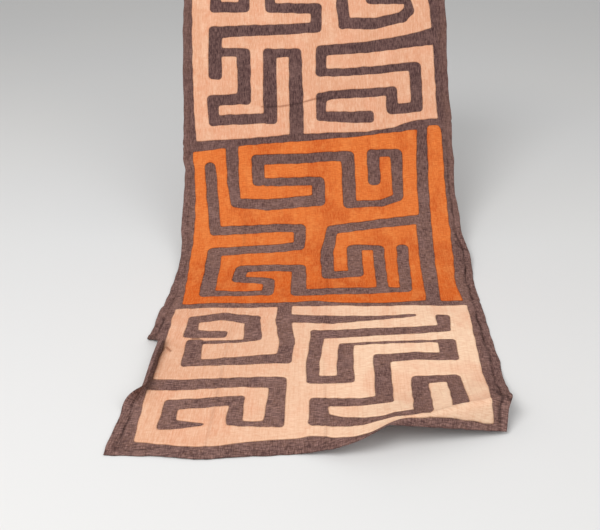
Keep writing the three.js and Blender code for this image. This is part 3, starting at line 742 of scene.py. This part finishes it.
stitch = {"every": 5.5, "length": 3.2, "width": 0.6, "height": 0.6, "slant": 0.35, "jitter": 0.9,
          "inset": 0.9, "behind": -0.05, "lift": 0.45, "turn": 0.12, "lengths": (0.75, 1.2),
          "sides": 5, "rings": 4,
          "seeds": {"stitches_panel_lower": 41, "stitches_panel_middle": 42,
                    "stitches_strip_middle": 43, "stitches_panel_upper": 44}}


def stitchRow(name, spots, angles, lengths, material):  # a small rounded stitch at every spot
    bm = bmesh.new()
    bmesh.ops.create_uvsphere(bm, u_segments=stitch["sides"], v_segments=stitch["rings"], radius=0.5,
                              matrix=Matrix.Rotation(math.pi / 2, 4, "Y"))
    one, corners = flatOf(bm), bm.verts[:]
    needed = len(spots) * len(one)
    while len(corners) < needed:  # doubled until there are enough
        twin = bmesh.ops.duplicate(bm, geom=bm.verts[:] + bm.edges[:] + bm.faces[:])["vert_map"]
        corners += [twin[corner] for corner in corners]
    bmesh.ops.delete(bm, geom=corners[needed:], context="VERTS")
    along, aside = one[None, :, 0] * lengths[:, None], one[None, :, 1] * stitch["width"]
    cos, sin = np.cos(angles)[:, None], np.sin(angles)[:, None]
    flat = np.stack([
        spots[:, 0:1] + along * cos - aside * sin,
        spots[:, 1:2] + along * sin + aside * cos,
        spots[:, 2:3] + one[None, :, 2] * stitch["height"]], axis=-1)
    for corner, place in zip(corners, flat.reshape(-1, 3).tolist()):
        corner.co = place
    return drapedPiece(name, bm, material)


def overcast(name, field, walks, material):  # slanting stitches over every cut edge, front and back
    s, rng = stitch, np.random.default_rng(stitch["seeds"][name])
    spots = []
    for walk in walks:
        run = np.concatenate([[0], np.cumsum(np.hypot(*np.diff(walk, axis=0).T))])
        at = np.arange(rng.uniform(0, s["every"]), run[-1], s["every"])
        at = at + rng.uniform(-s["jitter"], s["jitter"], len(at))
        spots.append(np.stack([np.interp(at, run, walk[:, 0]), np.interp(at, run, walk[:, 1])], axis=1))
    spots = np.concatenate(spots)
    su, sv = cutSlope(field, spots[:, 0], spots[:, 1])
    angles = np.arctan2(sv, su) + s["slant"] + rng.normal(0, s["turn"], len(spots))
    lengths = s["length"] * rng.uniform(*s["lengths"], len(spots))
    over = np.full(len(spots), panel["edgeTop"] + s["lift"])
    front = np.stack([spots[:, 0] + s["inset"] * su, spots[:, 1] + s["inset"] * sv, over], axis=1)
    back = np.stack([front[:, 0], front[:, 1], np.full(len(spots), s["behind"])], axis=1)
    return stitchRow(name, np.concatenate([front, back]), np.concatenate([angles, -angles]),
                     np.concatenate([lengths, lengths]), material)


def cutPanel(name, chart, material):
    p = panel
    field = cutField(chart)
    bm = cutFlatPanel(chart, field)
    walks = edgeWalks(bm)
    edgeLayer = bm.verts.layers.float.new("edge")
    flat = flatOf(bm)
    far = np.maximum(cutDistance(field, flat[:, 0], flat[:, 1]), 0)
    rounded = np.sqrt(np.clip(1 - (1 - np.minimum(far / p["edgeRound"], 1)) ** 2, 0, 1))
    height = p["edgeTop"] + (p["top"] - p["edgeTop"]) * rounded
    height = height + p["roll"] * np.exp(-((far - p["rollReach"]) / p["rollHalf"]) ** 2)
    flat[:, 2] = height
    setFlat(bm, flat)
    shadeLayer = bm.verts.layers.float.new("shade")
    shade = markShade(chart.get("marks", []), flat[:, 0], flat[:, 1])
    for vert, inside, dim in zip(bm.verts, far.tolist(), shade.tolist()):
        vert[edgeLayer], vert[shadeLayer] = inside, dim
    for back in backCopy(bm):
        back.co.z = p["under"]
    bmesh.ops.recalc_face_normals(bm, faces=bm.faces[:])
    return drapedPiece(name, bm, material), field, walks


strand = {
    "grain": 1.4, "detail": 2, "seed": 2.0, "span": (0.35, 0.7), "rough": 0.8, "grainRough": 0.1, "bump": 0.2,
}


def thread(name, colour, light):
    board = Board(name)
    place = board.add("ShaderNodeTexCoord", {}, out=3)
    grain = board.noise(place, strand["grain"], strand["grain"], strand["detail"], strand["seed"])
    shade = board.blend(grain.between(*strand["span"]), colour, light)
    return board.finish(shade, strand["rough"] + grain * strand["grainRough"], grain, strand["bump"])


paleThread = thread("pale thread", srgb(196, 146, 112), srgb(222, 174, 140))
orangeThread = thread("orange thread", srgb(170, 76, 34), srgb(200, 100, 46))

panelLower, lowerField, lowerWalks = cutPanel("raffia_panel_lower", lowerChart, paleRaffia)
panelMiddle, middleField, middleWalks = cutPanel("raffia_panel_middle", middleChart, orangeRaffia)
stripMiddle, stripField, stripWalks = cutPanel("raffia_strip_middle", stripChart, orangeRaffia)
panelUpper, upperField, upperWalks = cutPanel("raffia_panel_upper", upperChart, paleRaffia)
lowerStitches = overcast("stitches_panel_lower", lowerField, lowerWalks, paleThread)
middleStitches = overcast("stitches_panel_middle", middleField, middleWalks, orangeThread)
stripStitches = overcast("stitches_strip_middle", stripField, stripWalks, orangeThread)
upperStitches = overcast("stitches_panel_upper", upperField, upperWalks, paleThread)
print("panels sewn on")


# hides the imported CAD pieces, which the draped pieces stand in for
def declare(node):
    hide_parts(node)


declare("ground_lower")
declare("ground_middle")
declare("ground_upper")
declare("panel_lower")
declare("panel_middle")
declare("strip_middle")
declare("panel_upper")


studio = {
    "floorSize": 40, "floorTone": 0.72, "floorWarm": (1.03, 1.02, 1), "floorGrain": 900, "floorRough": 0.9,
    "floorDetail": 2, "floorSeed": 1.0, "floorBump": 0.1, "floorDrop": 0.0005, "floorCells": 4,
    "world": 0.55, "aim": (0, -0.8, -0.5),
    "lights": [  # name, place, size, power
        ("key", (-1.3, -2.2, 2.0), 1.6, 60), ("fill", (1.8, -2.6, 1.2), 2.0, 20)],
}


def makeStudio():
    floorZ = cadLow.z - studio["floorDrop"]  # under the lowest stitches
    bm = bmesh.new()
    cells, half = studio["floorCells"], studio["floorSize"] / 2
    bmesh.ops.create_grid(bm, x_segments=cells, y_segments=cells, size=half,
                          matrix=Matrix.Translation((0, 0, floorZ)))
    mesh = bpy.data.meshes.new("studio_floor")
    bm.to_mesh(mesh)
    bm.free()
    tone = studio["floorTone"]
    board = Board("floor paper")
    place = board.add("ShaderNodeTexCoord", {}, out=3)
    size = studio["floorGrain"]
    grain = board.noise(place, size, size, studio["floorDetail"], studio["floorSeed"])
    shade = board.blend(grain, (tone, tone, tone, 1), (*[tone * part for part in studio["floorWarm"]], 1))
    mesh.materials.append(board.finish(shade, studio["floorRough"], grain, studio["floorBump"]))
    floor = bpy.data.objects.new("studio_floor", mesh)
    bpy.context.scene.collection.objects.link(floor)
    world = bpy.data.worlds.new("studio")
    world.use_nodes = True
    back = world.node_tree.nodes["Background"]
    back.inputs["Color"].default_value = (1, 1, 1, 1)
    back.inputs["Strength"].default_value = studio["world"]
    bpy.context.scene.world = world


def softLight(name, place, size, power):
    data = bpy.data.lights.new(name, "AREA")
    data.shape, data.size, data.energy = "SQUARE", size, power
    light = bpy.data.objects.new(name, data)
    light.location = place
    toward = Vector(studio["aim"]) - Vector(place)
    light.rotation_euler = toward.to_track_quat("-Z", "Y").to_euler()
    bpy.context.scene.collection.objects.link(light)


makeStudio()
for light in studio["lights"]:
    softLight(*light)
print("studio set")

camera = {"place": (-0.041, -2.151, 0.18048), "down": 29.96, "lens": 42, "sensor": 36, "far": 100}
lens = bpy.data.cameras.new("camera")
lens.lens, lens.sensor_width, lens.clip_end = camera["lens"], camera["sensor"], camera["far"]
viewer = bpy.data.objects.new("camera", lens)
viewer.location = camera["place"]
viewer.rotation_euler = (math.radians(90 - camera["down"]), 0, 0)
bpy.context.scene.collection.objects.link(viewer)
bpy.context.scene.camera = viewer
bpy.context.scene.view_settings.view_transform = "Standard"
